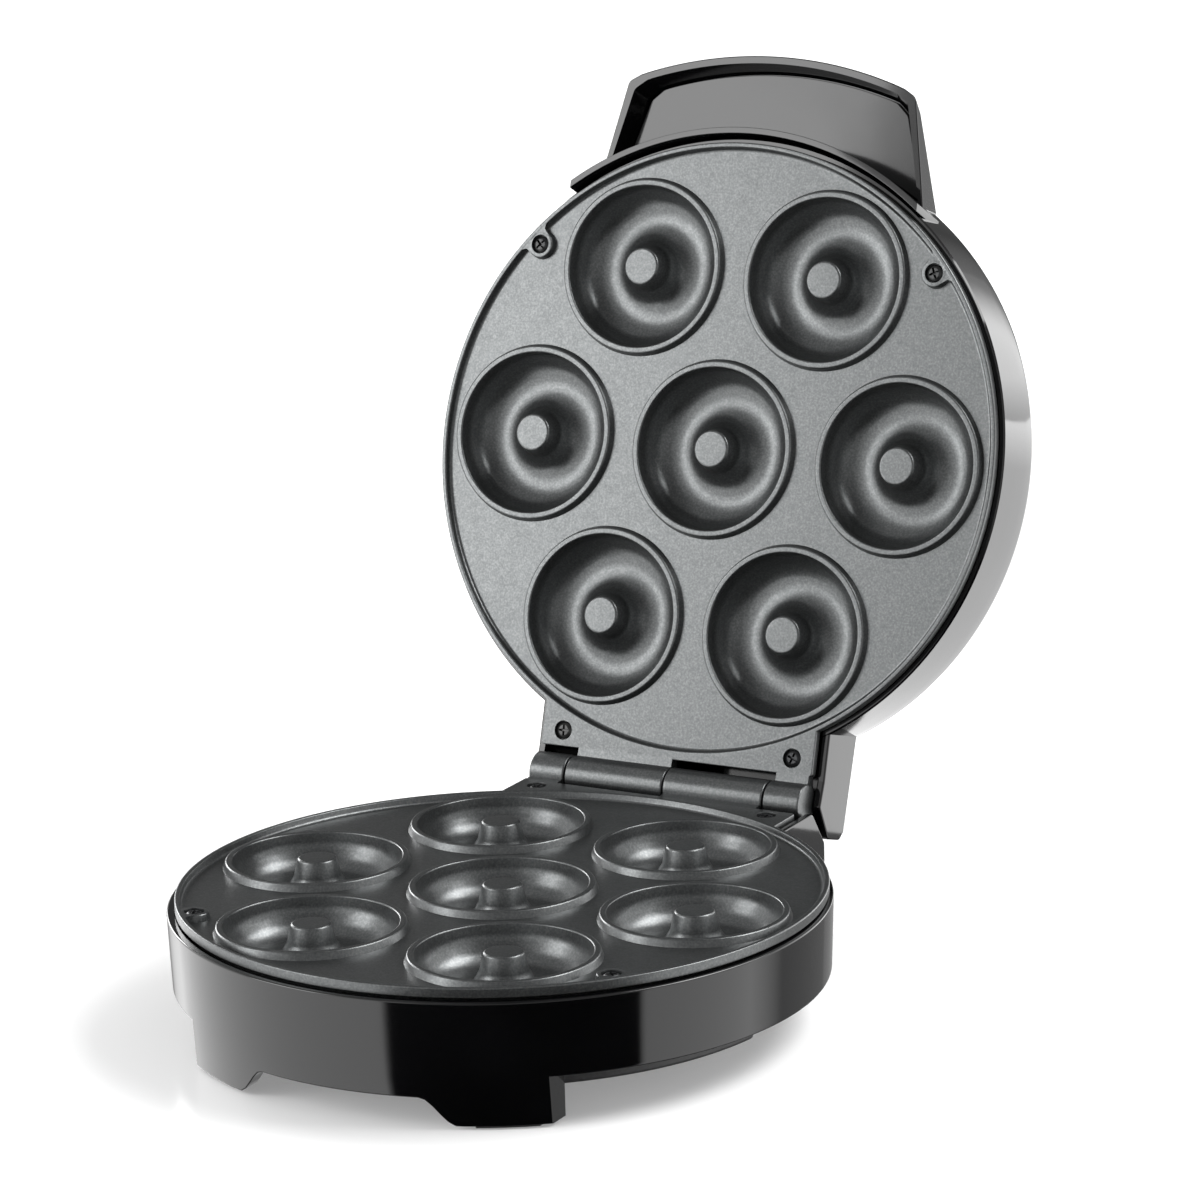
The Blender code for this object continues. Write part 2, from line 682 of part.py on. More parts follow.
def make_bottom_cover():
    """The floor plate with the shallow tray that shows under the front of the base."""
    low = COVER_TOP - COVER_SHEET
    centre = (0, BASE_CENTRE_Y)
    cover = disc(COVER_RADIUS, COVER_TOP, low, ROUND, centre)
    foot_x, foot_y = REAR_FOOT
    side, rear = BLOCK_HALF - WALL - 2 * GAP, BLOCK_REAR - WALL - 2 * GAP
    under, over = low + NUDGE, COVER_TOP - NUDGE
    tongue = foot_x - 2 * GAP
    joined(cover, block((-side, HOLLOW_FRONT, under), (side, foot_y - 2 * GAP, over)))
    joined(cover, block((-tongue, COVER_TONGUE_FRONT, under), (tongue, rear + BITE, over)))
    tray = disc(TRAY_RADIUS, low + TRAY_LAP, TRAY_Z, ROUND, centre)
    joined(cover, common(tray, block((-FAR, -FAR, -FAR), (FAR, TRAY_REAR, 0))))
    hollow = disc(TRAY_RADIUS - COVER_SHEET, COVER_TOP / 2, TRAY_Z + COVER_SHEET, ROUND, centre)
    front_screws = both_sides((COVER_SCREWS[0],))
    cut(hollow, *[upright(place, -FAR, 0, COVER_BOSS + 2) for place in front_screws])
    cut(cover, common(hollow, block((-FAR, -FAR, -FAR), (FAR, TRAY_REAR - COVER_SHEET, 0))))
    holes = [upright(place, -FAR, 0, SHANK_HOLE, SCREW_SIDES) for place in both_sides(COVER_SCREWS)]
    holes += [upright(place, -FAR, low + HEAD_HEIGHT, COVER_WELL_RADIUS) for place in front_screws]
    return cut(cover, *holes)


def make_cover_screws(frame):
    """The two front screws sit in wells of the tray, the two rear ones under the cover."""
    low = COVER_TOP - COVER_SHEET
    for number, (x, y) in enumerate(both_sides(COVER_SCREWS), 1):
        screw = make_screw(0, HEAD_RADIUS, HEAD_HEIGHT, SHANK_RADIUS, COVER_SCREW_LENGTH)
        screw.rotation_euler.x = math.pi
        under = low - GAP if y < 0 else low - GAP - HEAD_HEIGHT
        screw.location = Vector((x, y, under)) * MM
        finish(screw, f"cover_screw_{number}", "screw", frame)


def make_bushing():
    """The flanged bushing in the rear wall where the supply lead enters."""
    outside = BLOCK_REAR + GAP
    inside = BLOCK_REAR - WALL - GAP
    flange, proud = BUSHING_FLANGE
    catch, depth = BUSHING_CATCH
    profile = (
        (flange, outside + proud), (flange, outside), (BUSHING_NECK, outside), (BUSHING_NECK, inside),
        (catch, inside), (catch, inside - depth), (BUSHING_BORE, inside - depth),
        (BUSHING_BORE, outside + proud),
    )
    bushing = turned(profile, BUSHING_SIDES)
    x, z = BUSHING_PLACE
    bushing.rotation_euler.x = -math.pi / 2
    bushing.location = Vector((x, 0, z)) * MM
    return bushing


def make_base(frame):
    finish(make_base_housing(), "base_housing", "housing", frame)
    finish(make_bottom_cover(), "bottom_cover", "cover", frame)
    for name, (span, in_front) in pads().items():
        finish(pad_solid(span, in_front, 0), name, "rubber", frame)
    make_cover_screws(frame)
    pin_left = PIN_PROUD - OUTER_KNUCKLE[0]
    pin = rod((-pin_left, HINGE_Y, HINGE_Z), (BLIND_END - CLEAR, HINGE_Y, HINGE_Z), PIN_RADIUS, BOSS_SIDES)
    finish(pin, "hinge_pin", "steel", frame)
    can = turned(CAN_PROFILE, BUSHING_SIDES)
    can.location = Vector(polar(POST_CIRCLE, 90)) * MM
    finish(can, "thermostat", "ceramic", frame)
    finish(block(TERMINAL_LOW, TERMINAL_HIGH), "terminal_block", "ceramic", frame)
    finish(make_bushing(), "cord_bushing", "rubber", frame)


# ---- Lid ----


def dome_profile():
    """The lid's outer skin from its apex down to its rim."""
    skin = [(radius, LID_TOP - drop) for radius, drop in DOME_DROPS]
    shoulder = arc((LID_WAIST - SHOULDER_RADIUS - 0.1, LID_SHOULDER), SHOULDER_RADIUS, 78, 8, 5)
    return skin + shoulder + [(LID_WAIST, LID_SHOULDER - 2), (HOUSING_RADIUS, RIM_Z)]


def inner_profile():
    dome = [(radius, LID_TOP - WALL - drop) for radius, drop in INNER_DROPS]
    return dome + [(INNER_WAIST, LID_SHOULDER - 1), (HOUSING_RADIUS - WALL, RIM_Z)]


def handle_outline(inset):
    """Half-trapezoid handle with an arc along its front edge, drawn clockwise from the left root."""
    root_x, root_y = HANDLE_ROOT
    tip_x, tip_y = HANDLE_TIP
    radius = HANDLE_ARC_RADIUS - inset
    corner_x = tip_x - inset - HANDLE_CORNER
    last = math.degrees(math.acos(corner_x / radius))
    front = arc((0, HANDLE_ARC_Y), radius, 180 + last, 360 - last, HANDLE_STEPS)
    side = [(root_x - inset + ROOT_FLARE * inset, root_y), (tip_x - inset, tip_y + inset)]
    left = [(-x, y) for x, y in side]
    return left + front + list(reversed(side))


def make_handle():
    """The hollow handle, open underneath, before it is joined to the lid's front."""
    shell = loft(
        handle_outline(0), handle_outline(HANDLE_DRAFT), HANDLE_RIM, HANDLE_TOP, tilt=HANDLE_TILT,
    )
    deepest = handle_outline(WALL + RECESS_DRAFT)
    recess = loft(handle_outline(WALL), deepest, RECESS_START, HANDLE_TOP - HANDLE_SKIN)
    cut(shell, recess)
    return cut(shell, upright((0, 0), 0, LID_TOP, HOUSING_RADIUS - WALL / 2, ROUND))


def lid_bosses():
    front_top, rear_top = LID_BOSS_TOPS
    bosses = [upright(place, -SEAT_Z, front_top, FRONT_BOSS) for place in both_sides((FRONT_SCREW,))]
    bosses += [upright(place, -SEAT_Z, rear_top, REAR_BOSS) for place in both_sides((REAR_SCREW,))]
    x, y = FRONT_SCREW
    rib_low = 2 * BITE - SEAT_Z
    for side in (-1, 1):
        near, far = sorted((side * x, side * FRONT_RIB[0]))
        bosses.append(block((near, y - RIB_HALF, rib_low), (far, y + RIB_HALF, LID_RIB_TOP)))
    return bosses


def make_lid_housing():
    """The domed lid with its handle, the visor under the handle's root and the ear over the hinge."""
    housing = turned(dome_profile() + list(reversed(inner_profile())))
    rear, top = VISOR_BOX
    visor = common(turned(VISOR_PROFILE), block((-VISOR_HALF, -FAR, -CLEAR), (VISOR_HALF, rear, top)))
    inside = BLOCK_HALF - WALL
    joined(housing, visor, make_handle(), slab(EAR, -BLOCK_HALF, BLOCK_HALF, "X"))
    round_hollow = upright((0, 0), -CLEAR, LID_HOLLOW_TOP, LID_HOLLOW_RADIUS, ROUND)
    cut(housing, slab(EAR_HOLLOW, -inside, inside, "X"), round_hollow)
    joined(housing, *lid_bosses())
    screws = both_sides((FRONT_SCREW, REAR_SCREW))
    holes = [upright(place, 0, LID_HOLE_TOP, SHANK_HOLE, SCREW_SIDES) for place in screws]
    low, high = LAMP_HOLE_SPAN
    holes += [upright(place, low, high, LAMP_RADIUS + GAP) for place in LAMP_PLACES.values()]
    return cut(housing, *holes)


def make_handle_panel():
    """The flat panel that closes the handle's underside a little way in."""
    inset = WALL + GAP + RECESS_DRAFT
    panel = slab(handle_outline(inset), HANDLE_FLOOR, HANDLE_TOP - HANDLE_SKIN - GAP)
    return cut(panel, upright((0, 0), 0, LID_TOP, HOUSING_RADIUS + 2 * GAP, ROUND))


def make_lens():
    top = LID_TOP - LAMP_SINK
    crown = [(radius, top + rise) for radius, rise in LENS_CROWN]
    return turned(crown + [(LAMP_RADIUS, LENS_FOOT), (0, LENS_FOOT)], LAMP_SIDES)


def make_lid(frame):
    finish(make_lid_housing(), "lid_housing", "housing", frame)
    finish(make_handle_panel(), "handle_panel", "housing", frame)
    for name, place in LAMP_PLACES.items():
        lens = make_lens()
        lens.location = Vector((*place, 0)) * MM
        finish(lens, f"{name}_lamp_lens", "red_lens" if name == "power" else "green_lens", frame)
        bulb = upright(place, *BULB_SPAN, BULB_RADIUS, SMALL_SIDES)
        finish(bulb, f"{name}_lamp_bulb", "neon", frame)


clear_scene()
donut_maker = make_collection("donut_maker")
workshop = make_collection("workshop")
materials = {name: make_material(name) for name in FINISHES}
base_frame = make_frame("base_frame", None, (0, -CENTRE_Y, FOOT_TO_LIP))
lid_hinge = make_frame("lid_hinge", base_frame, (0, HINGE_Y, HINGE_Z), (-math.radians(OPEN_ANGLE), 0, 0))
lid_frame = make_frame("lid_frame", lid_hinge, (0, -HINGE_Y, LID_GAP - HINGE_Z))
upper_plate_frame = make_frame("upper_plate_frame", lid_frame, (0, 0, 0), (0, math.pi, 0))
make_base(base_frame)
make_lid(lid_frame)
make_plate_assembly("lower", base_frame, OPEN_END)
make_plate_assembly("upper", upper_plate_frame, BLIND_END)
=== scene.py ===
import json
import math

import bmesh
import bpy
from mathutils import Matrix, Vector

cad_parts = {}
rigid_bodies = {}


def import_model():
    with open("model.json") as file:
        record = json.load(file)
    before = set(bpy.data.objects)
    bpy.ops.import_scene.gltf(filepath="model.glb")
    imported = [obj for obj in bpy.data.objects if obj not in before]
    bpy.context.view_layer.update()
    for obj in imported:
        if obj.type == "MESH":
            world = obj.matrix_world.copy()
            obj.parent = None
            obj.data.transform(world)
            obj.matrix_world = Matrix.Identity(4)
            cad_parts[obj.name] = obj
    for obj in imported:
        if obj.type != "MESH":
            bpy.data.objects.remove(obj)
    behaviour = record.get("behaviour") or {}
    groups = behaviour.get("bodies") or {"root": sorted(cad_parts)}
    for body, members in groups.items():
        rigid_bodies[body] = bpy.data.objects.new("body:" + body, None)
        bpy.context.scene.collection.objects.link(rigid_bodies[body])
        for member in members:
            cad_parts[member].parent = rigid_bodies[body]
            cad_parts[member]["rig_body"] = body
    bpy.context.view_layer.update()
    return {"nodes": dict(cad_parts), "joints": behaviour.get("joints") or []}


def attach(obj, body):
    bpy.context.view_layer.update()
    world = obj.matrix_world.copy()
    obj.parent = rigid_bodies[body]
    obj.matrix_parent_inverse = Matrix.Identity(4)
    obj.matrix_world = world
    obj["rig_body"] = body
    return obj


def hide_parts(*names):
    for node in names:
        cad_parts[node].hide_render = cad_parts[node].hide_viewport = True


# The looks of a donut maker that stands open. Shapes are in millimetres and in plate coordinates: the
# origin is the plate's centre in the plane of its lip, +Z out of the moulds, +Y towards the hinge.
# Both plates are one casting. The lid's own coordinates are those it has when it is closed.
# piece() turns a shape into metres and puts it in its place.

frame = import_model()

MM = 0.001
OPEN_ANGLE = math.radians(frame["joints"][0]["range_deg"][1])
HINGE = Vector(frame["joints"][0]["pos_m"]) / MM
HINGE_Y = 109.74
HINGE_Z = 0.54

PITCH = 66.0
LIP_RADIUS = 99.5
LIP_INNER = 98.0
LIP_FOOT = 97.4
FLANGE = 3.1
FLOOR_Z = -2.3
UNDERSIDE = -5.3
SKIRT_RADIUS = 96.0
SKIRT_Z = -8.5
TAB_HALF = 49.2
TAB_REAR = 101.05
CUP_HOLE = 28.9
KNUCKLE_RADIUS = 6.34
OUTER_KNUCKLE = (-48.85, -36.2)
INNER_KNUCKLE = (0.2, 35.7)
FRONT_SCREW = (71.3, -61.9)
REAR_SCREW = (41.6, 95.8)
HEAD_RADIUS = 2.8
HEAD_TOP = -0.25
SCREW_SPIN = 23
CROSS_ARM = 1.85
CROSS_HALF = 0.42
CROSS_TAPER = 0.75
CROSS_DEPTH = 1.2
SINK_RADIUS = 3.15

WALL = 2.4
RIM_Z = 3.6
HOUSING_RADIUS = 101.3
BASE_CENTRE_Y = -1.3
BASE_EDGE_Z = -27.0
BASE_EDGE_RADIUS = 100.4
SKIRT_EDGE_Z = -33.0
FOOT_Z = -41.6
FOOT_RADIUS = 99.4
FOOT_HALF = 60.7
FOOT_INNER = 37.0
SLOPE_TOP = 26.6
FOOT_THICK = 6.0
BLOCK_HALF = 52.1
BLOCK_REAR = 115.8
LID_TOP = 43.5
LID_SHOULDER = 24.5
VISOR_RADIUS = 104.5
VISOR_HALF = 62.7

DOME_RADII = (0, 24, 48, 70, 84)
DOME_DROP = 8.6
DOME_CURVE = 2.06
LAMP_PLACES = {"power": -9.0, "ready": 9.0}
LAMP_Y = -70.0
CORD_X = -28.0
CORD_Z = -19.0
COVER_TOP = -24.6
COVER_LOW = -26.8
COVER_SCREWS = ((80.0, -38.0), (24.0, 104.0))
PIN_BORE = 2.0
PAD_DEPTH = 1.9

ROUND = 192
CUP_SIDES = 96
SMALL_SIDES = 48
FRONT_STEPS = 60
REAR_STEPS = 150
# Points of a shape that are closer than this, in millimetres, become one
MERGE = 0.002
# Faces that meet at a larger angle than this, in degrees, keep a sharp edge
SMOOTH_ANGLE = 38


# ---- Shapes ----


def rounded(corners, steps=5):
    """A closed outline from corners (u, v, radius), each corner drawn as an arc of its radius."""
    points = []
    for k, (u, v, radius) in enumerate(corners):
        here = Vector((u, v))
        back = Vector(corners[k - 1][:2]) - here
        ahead = Vector(corners[(k + 1) % len(corners)][:2]) - here
        if radius <= 0:
            points.append(tuple(here))
            continue
        half = back.angle(ahead) / 2
        reach = min(radius / math.tan(half), 0.49 * back.length, 0.49 * ahead.length)
        radius = reach * math.tan(half)
        middle = here + (back.normalized() + ahead.normalized()).normalized() * radius / math.sin(half)
        start = here + back.normalized() * reach - middle
        end = here + ahead.normalized() * reach - middle
        first = math.atan2(start.y, start.x)
        turn = (math.atan2(end.y, end.x) - first + math.pi) % (2 * math.pi) - math.pi
        for step in range(steps + 1):
            angle = first + turn * step / steps
            points.append((middle.x + radius * math.cos(angle), middle.y + radius * math.sin(angle)))
    return points


def arc(centre, radius, first, last, count):
    """Points along an arc, with its angles in degrees."""
    points = []
    for k in range(count + 1):
        turn = math.radians(first + (last - first) * k / count)
        points.append((centre[0] + radius * math.cos(turn), centre[1] + radius * math.sin(turn)))
    return points


def skin(rings, wrap):
    """A closed surface over rings of equal length, in a loop or with a cap at each end."""
    bm = bmesh.new()
    grid = [[bm.verts.new(point) for point in ring] for ring in rings]
    pairs = list(zip(grid, grid[1:]))
    if wrap:
        pairs.append((grid[-1], grid[0]))
    else:
        bm.faces.new(grid[0])
        bm.faces.new(grid[-1])
    for first, second in pairs:
        for k in range(len(first)):
            after = (k + 1) % len(first)
            bm.faces.new((first[k], first[after], second[after], second[k]))
    bmesh.ops.remove_doubles(bm, verts=bm.verts, dist=0.0001)
    bmesh.ops.recalc_face_normals(bm, faces=bm.faces)
    return draft(bm)


def draft(bm):
    mesh = bpy.data.meshes.new("draft")
    bm.to_mesh(mesh)
    bm.free()
    item = bpy.data.objects.new("draft", mesh)
    bpy.context.scene.collection.objects.link(item)
    return item


def bake(item):
    """Puts the evaluated mesh in place of the item's mesh and modifiers."""
    bpy.context.view_layer.update()
    evaluated = item.evaluated_get(bpy.context.evaluated_depsgraph_get())
    mesh = bpy.data.meshes.new_from_object(evaluated)
    item.modifiers.clear()
    item.data = mesh
    return item


def turned(profile, sides=ROUND, centre=(0, 0)):
    """A closed section of (radius, z) turned about an upright axis."""
    rings = []
    for k in range(sides):
        turn = 2 * math.pi * k / sides
        across, along = math.cos(turn), math.sin(turn)
        rings.append([(centre[0] + r * across, centre[1] + r * along, z) for r, z in profile])
    return skin(rings, True)


def loft(lower, upper, low, high, axis="Z"):
    """A solid between two outlines of equal length, one at each level along the axis."""
    order = {"X": (2, 0, 1), "Y": (0, 2, 1), "Z": (0, 1, 2)}[axis]
    rings = []
    for outline, level in ((lower, low), (upper, high)):
        triples = [(u, v, level) for u, v in outline]
        rings.append([tuple(triple[k] for k in order) for triple in triples])
    return skin(rings, False)


def slab(outline, low, high, axis="Z"):
    return loft(outline, outline, low, high, axis)


def block(low, high):
    outline = ((low[0], low[1]), (high[0], low[1]), (high[0], high[1]), (low[0], high[1]))
    return slab(outline, low[2], high[2])


def disc(radius, top, low, sides=ROUND, centre=(0, 0)):
    return turned(((0, top), (radius, top), (radius, low), (0, low)), sides, centre)


def soften(item, width, steps=3, angle=35):
    """Rounds the edges that turn by more than the angle, in degrees."""
    bevel = item.modifiers.new("Soften", "BEVEL")
    bevel.width = width
    bevel.segments = steps
    bevel.limit_method = "ANGLE"
    bevel.angle_limit = math.radians(angle)
    return bake(item)


def shaped(item, operation, tools):
    for tool in tools:
        cutter = item.modifiers.new(operation.title(), "BOOLEAN")
        cutter.operation = operation
        cutter.solver = "EXACT"
        cutter.object = tool
    bake(item)
    for tool in tools:
        bpy.data.objects.remove(tool, do_unlink=True)
    return item


def joined(item, *tools):
    return shaped(item, "UNION", tools)


def cut(item, *tools):
    return shaped(item, "DIFFERENCE", tools)


def common(item, *tools):
    return shaped(item, "INTERSECT", tools)


def together(items):
    """Separate shapes as one draft object."""
    bm = bmesh.new()
    for item in items:
        bm.from_mesh(item.data)
        bpy.data.objects.remove(item, do_unlink=True)
    return draft(bm)


def both_sides(places):
    return [(side * x, y) for x, y in places for side in (-1, 1)]


# ---- Placing ----

base_place = Matrix.Translation(HINGE - Vector((0, HINGE_Y, HINGE_Z)))
lid_place = (
    Matrix.Translation(HINGE) @ Matrix.Rotation(-OPEN_ANGLE, 4, "X")
    @ Matrix.Translation((0, -HINGE_Y, HINGE_Z))
)
upper_place = lid_place @ Matrix.Rotation(math.pi, 4, "Y")


def piece(item, name, node, material, place):
    """Turns a draft into a finished piece that stands for a CAD node and rides with its body."""
    item.name = name
    item.data.name = name
    bm = bmesh.new()
    bm.from_mesh(item.data)
    bmesh.ops.remove_doubles(bm, verts=bm.verts, dist=MERGE)
    bmesh.ops.dissolve_degenerate(bm, edges=bm.edges, dist=MERGE)
    bm.to_mesh(item.data)
    bm.free()
    item.data.transform(Matrix.Scale(MM, 4) @ place)
    item.data.materials.clear()
    item.data.materials.append(material)
    item.data.shade_smooth()
    item.data.set_sharp_from_angle(angle=math.radians(SMOOTH_ANGLE))
    weighted = item.modifiers.new("Normals", "WEIGHTED_NORMAL")
    weighted.keep_sharp = True
    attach(item, frame["nodes"][node]["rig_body"])
    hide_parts(node)


# ---- Materials ----


class Nodes:
    """A short way to write a material's node tree."""

    def __init__(self, name, color, roughness, metallic=0.0):
        self.material = bpy.data.materials.new(name)
        self.material.use_nodes = True
        self.tree = self.material.node_tree
        self.shader = self.tree.nodes["Principled BSDF"]
        self.shader.inputs["Base Color"].default_value = (*color, 1)
        self.shader.inputs["Roughness"].default_value = roughness
        self.shader.inputs["Metallic"].default_value = metallic
        self.coordinates = self.tree.nodes.new("ShaderNodeTexCoord").outputs["Object"]

    def noise(self, scale, detail=3.0, stretch=(1, 1, 1)):
        mapping = self.tree.nodes.new("ShaderNodeMapping")
        mapping.inputs["Scale"].default_value = stretch
        self.tree.links.new(self.coordinates, mapping.inputs["Vector"])
        texture = self.tree.nodes.new("ShaderNodeTexNoise")
        texture.inputs["Scale"].default_value = scale
        texture.inputs["Detail"].default_value = detail
        self.tree.links.new(mapping.outputs["Vector"], texture.inputs["Vector"])
        return texture.outputs["Fac"]

    def spread(self, value, low, high, start=0.3, end=0.7):
        """Maps a noise value to numbers between low and high."""
        node = self.tree.nodes.new("ShaderNodeMapRange")
        node.inputs["From Min"].default_value = start
        node.inputs["From Max"].default_value = end
        node.inputs["To Min"].default_value = low
        node.inputs["To Max"].default_value = high
        self.tree.links.new(value, node.inputs["Value"])
        return node.outputs["Result"]

    def ramp(self, value, stops):
        node = self.tree.nodes.new("ShaderNodeValToRGB")
        elements = node.color_ramp.elements
        while len(elements) < len(stops):
            elements.new(0.5)
        for element, (position, color) in zip(elements, stops):
            element.position = position
            element.color = (*color, 1)
        self.tree.links.new(value, node.inputs["Fac"])
        return node.outputs["Color"]

    def bump(self, value, strength, distance):
        node = self.tree.nodes.new("ShaderNodeBump")
        node.inputs["Strength"].default_value = strength
        node.inputs["Distance"].default_value = distance
        self.tree.links.new(value, node.inputs["Height"])
        self.tree.links.new(node.outputs["Normal"], self.shader.inputs["Normal"])

    def link(self, value, name):
        self.tree.links.new(value, self.shader.inputs[name])


def nonstick_material():
    """Sprayed non-stick coating: satin dark grey with a fine grain and slightly uneven gloss."""
    nodes = Nodes("nonstick", (0.1, 0.104, 0.105), 0.3, 0.85)
    grain = nodes.noise(1500, 3)
    nodes.link(nodes.ramp(grain, ((0.3, (0.08, 0.084, 0.085)), (0.5, (0.1, 0.104, 0.105)),
                                  (0.72, (0.135, 0.139, 0.139)))), "Base Color")
    nodes.link(nodes.spread(nodes.noise(420, 3), 0.28, 0.34), "Roughness")
    nodes.bump(grain, 0.04, 0.0002)
    return nodes.material


def gloss_material(name, color, roughness):
    """Polished black moulding with a faint flow ripple and slightly uneven gloss."""
    nodes = Nodes(name, color, roughness)
    nodes.shader.inputs["IOR"].default_value = 1.5
    tint = [part * 1.6 for part in color]
    nodes.link(nodes.ramp(nodes.noise(25, 2), ((0.35, color), (0.7, tint))), "Base Color")
    nodes.link(nodes.spread(nodes.noise(18, 4), roughness * 0.8, roughness * 1.4), "Roughness")
    nodes.bump(nodes.noise(90, 1), 0.03, 0.0003)
    return nodes.material


def moulded_material(name, color, roughness, scale=900):
    """Matte moulding or rubber with a fine spark-eroded texture."""
    nodes = Nodes(name, color, roughness)
    grain = nodes.noise(scale, 3)
    darker = [part * 0.6 for part in color]
    nodes.link(nodes.ramp(grain, ((0.35, darker), (0.65, color))), "Base Color")
    nodes.link(nodes.spread(grain, roughness - 0.08, roughness + 0.05), "Roughness")
    nodes.bump(grain, 0.25, 0.0002)
    return nodes.material


def metal_material(name, color, roughness, stretch, tint):
    """Drawn or turned metal: noise stretched across the grain, with a stain of a second colour."""
    nodes = Nodes(name, color, roughness, 1.0)
    lines = nodes.noise(300, 4, stretch)
    nodes.link(nodes.ramp(nodes.noise(35, 3), ((0.4, color), (0.68, tint))), "Base Color")
    nodes.link(nodes.spread(lines, roughness * 0.8, roughness * 1.3), "Roughness")
    nodes.bump(lines, 0.12, 0.0002)
    return nodes.material


def lens_material(name, color):
    nodes = Nodes(name, color, 0.12)
    nodes.shader.inputs["Transmission Weight"].default_value = 0.6
    deeper = [part * 0.5 for part in color]
    nodes.link(nodes.ramp(nodes.noise(60, 2), ((0.4, deeper), (0.6, color))), "Base Color")
    nodes.bump(nodes.noise(700, 1, (1, 8, 1)), 0.3, 0.0003)
    return nodes.material


materials = {
    "nonstick": nonstick_material(),
    "housing": gloss_material("housing", (0.0014, 0.0014, 0.0016), 0.06),
    "panel": gloss_material("panel", (0.003, 0.003, 0.0034), 0.1),
    "cover": moulded_material("cover", (0.02, 0.02, 0.021), 0.5),
    "rubber": moulded_material("rubber", (0.025, 0.025, 0.025), 0.8, 1400),
    "screw": metal_material("screw", (0.045, 0.046, 0.048), 0.4, (1, 1, 0.3), (0.07, 0.07, 0.068)),
    "steel": metal_material("steel", (0.55, 0.55, 0.56), 0.32, (1, 12, 1), (0.48, 0.47, 0.45)),
    "element": metal_material("element", (0.2, 0.19, 0.17), 0.5, (1, 1, 1), (0.12, 0.09, 0.08)),
    "ceramic": moulded_material("ceramic", (0.8, 0.78, 0.72), 0.6, 500),
    "red_lens": lens_material("red_lens", (0.6, 0.02, 0.015)),
    "green_lens": lens_material("green_lens", (0.02, 0.4, 0.06)),
    "bulb": lens_material("bulb", (0.85, 0.8, 0.72)),
}


# ---- Baking plates ----


def cup_profile():
    return rounded((
        (0, 0, 0), (6.0, 0, 0.9), (7.5, -6.0, 5), (10.3, -10.4, 8), (16.5, -12.0, 20), (22.9, -9.9, 12),
        (26.0, -4.4, 8), (26.5, 0.05, 0.5), (28.4, 0.05, 0.7), (29.4, -2.6, 0.1), (29.4, -7.0, 0),
        (25.0, -14.3, 2), (0, -14.3, 0),
    ), 6)


def cavity_centres():
    ring = [(PITCH * math.cos(turn), PITCH * math.sin(turn)) for turn in
            (math.radians(60 * k) for k in range(6))]
    return [(0.0, 0.0)] + ring


def plate_disc():
    return turned(rounded((
        (0, FLOOR_Z, 0), (LIP_FOOT, FLOOR_Z, 1.2), (LIP_INNER, 0, 0.45), (LIP_RADIUS, 0, 0.45),
        (LIP_RADIUS, -FLANGE, 0.3), (SKIRT_RADIUS, -FLANGE, 0.2), (SKIRT_RADIUS, SKIRT_Z, 0.2),
        (SKIRT_RADIUS - 2.5, SKIRT_Z, 0.2), (SKIRT_RADIUS - 2.5, UNDERSIDE, 0.3), (0, UNDERSIDE, 0),
    ), 4))


def hinge_tab():
    outline = rounded(((-TAB_HALF, 70, 0), (-TAB_HALF, TAB_REAR, 1.2), (TAB_HALF, TAB_REAR, 1.2),
                       (TAB_HALF, 70, 0)), 5)
    tab = soften(slab(outline, -FLANGE, 0), 0.4)
    return cut(tab, disc(LIP_INNER + 0.5, 5, -20))


def knuckle(span):
    low, high = span
    barrel = soften(slab(arc((HINGE_Y, HINGE_Z), KNUCKLE_RADIUS, 0, 352.5, 47), low, high, "X"), 0.6)
    web = ((99.6, -3.0), (HINGE_Y, -5.5), (HINGE_Y, 1.0), (99.6, -0.12))
    joined(barrel, slab(web, low + 0.6, high - 0.6, "X"))
    return barrel


def boss_web(x, y):
    """The flat web that fans out from a front screw's boss to the lip."""
    along = Vector((x, y)).normalized()
    across = Vector((-along.y, along.x))
    corners = ((0, -4.2), (2.6, -4.6), (4.3, -7.2), (4.3, 7.2), (2.6, 4.6), (0, 4.2))
    outline = [tuple(Vector((x, y)) + along * u + across * v) for u, v in corners]
    return slab(outline, -3.0, -0.06)


def make_plate(name, node, bore_start, place):
    screws = both_sides((FRONT_SCREW, REAR_SCREW))
    plate = plate_disc()
    joined(plate, hinge_tab())
    cut(plate, together([disc(CUP_HOLE, 5, -20, CUP_SIDES, centre) for centre in cavity_centres()]))
    joined(plate, together([turned(cup_profile(), CUP_SIDES, centre) for centre in cavity_centres()]))
    boss = rounded(((0, -0.05, 0), (4.4, -0.05, 0.5), (5.0, -3.0, 0), (0, -3.0, 0)), 4)
    joined(plate, together([turned(boss, SMALL_SIDES, screw) for screw in screws]))
    joined(plate, together([boss_web(x, y) for x, y in both_sides((FRONT_SCREW,))]))
    joined(plate, together([knuckle(OUTER_KNUCKLE), knuckle(INNER_KNUCKLE)]))
    sink = rounded((
        (0, 3, 0), (4.2, 3, 0), (SINK_RADIUS, -0.1, 0.4), (SINK_RADIUS, -2.2, 0), (0, -2.2, 0),
    ), 3)
    cut(plate, together([turned(sink, SMALL_SIDES, screw) for screw in screws]))
    bore = slab(arc((HINGE_Y, HINGE_Z), PIN_BORE, 0, 345, 23), -bore_start, 60, "X")
    cut(plate, bore)
    piece(plate, name, node, materials["nonstick"], place)


